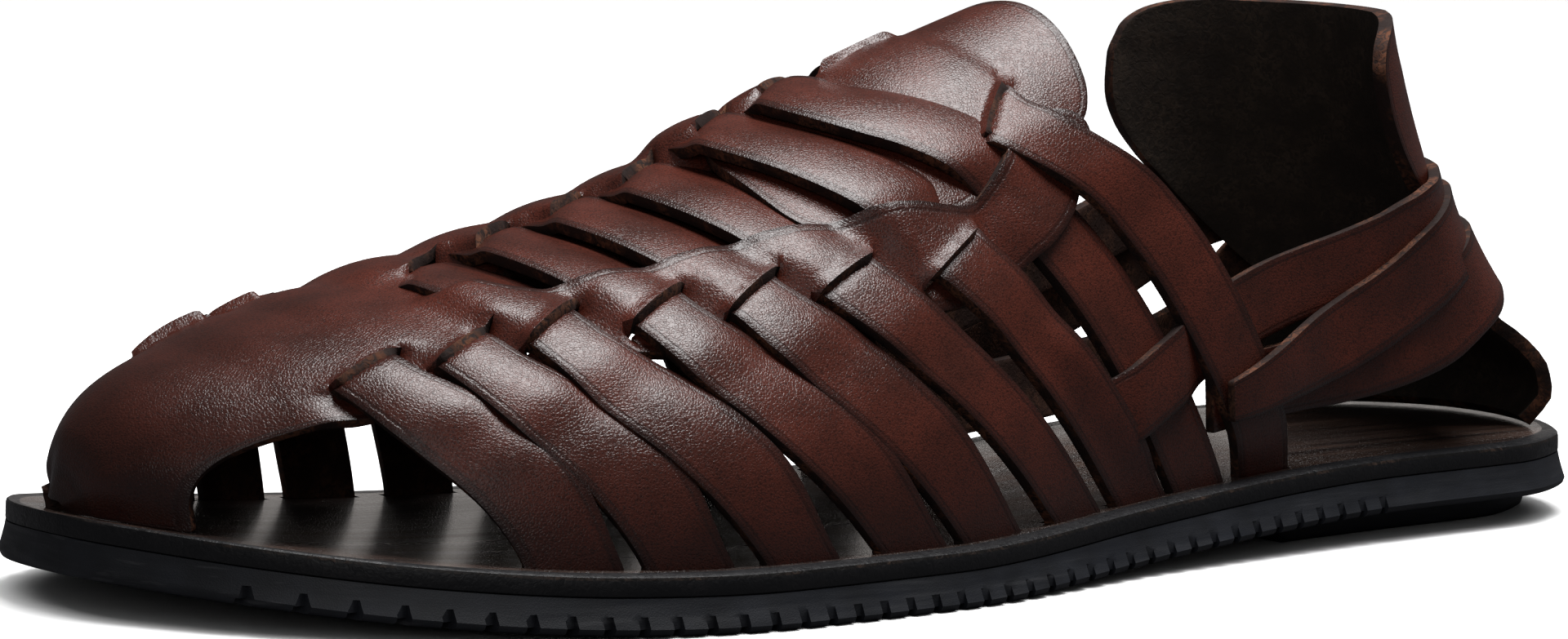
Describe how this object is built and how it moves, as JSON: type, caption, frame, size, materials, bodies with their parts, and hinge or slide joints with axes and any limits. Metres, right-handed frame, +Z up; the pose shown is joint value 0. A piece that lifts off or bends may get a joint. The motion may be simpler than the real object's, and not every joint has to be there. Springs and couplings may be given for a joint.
{
  "type": "huarache sandal",
  "caption": "Woven leather huarache sandal, left shoe: slit toe piece, cross straps, tongue tab, sling straps round a heel counter, flat rubber sole with heel lift.",
  "frame": {"origin": "on the floor, under the middle of the heel lift", "axes": "-X points from the heel to the toe, -Y to the outer side of the foot, +Z up from the floor"},
  "size_m": [0.2944, 0.1126, 0.0897],
  "materials": {
    "black_rubber": "semi-matt, scuffed",
    "footbed_leather": "dark brown, waxed smooth",
    "burnished_leather": "red-brown, burnished, semi-gloss",
    "inner_leather": "near-black, napped"
  },
  "bodies": {
    "root": {"outsole": "black_rubber", "heel_lift": "black_rubber", "insole": "footbed_leather", "upper": "burnished_leather", "tongue_tab": "burnished_leather", "heel_counter": "inner_leather"}
  },
  "joints": []
}
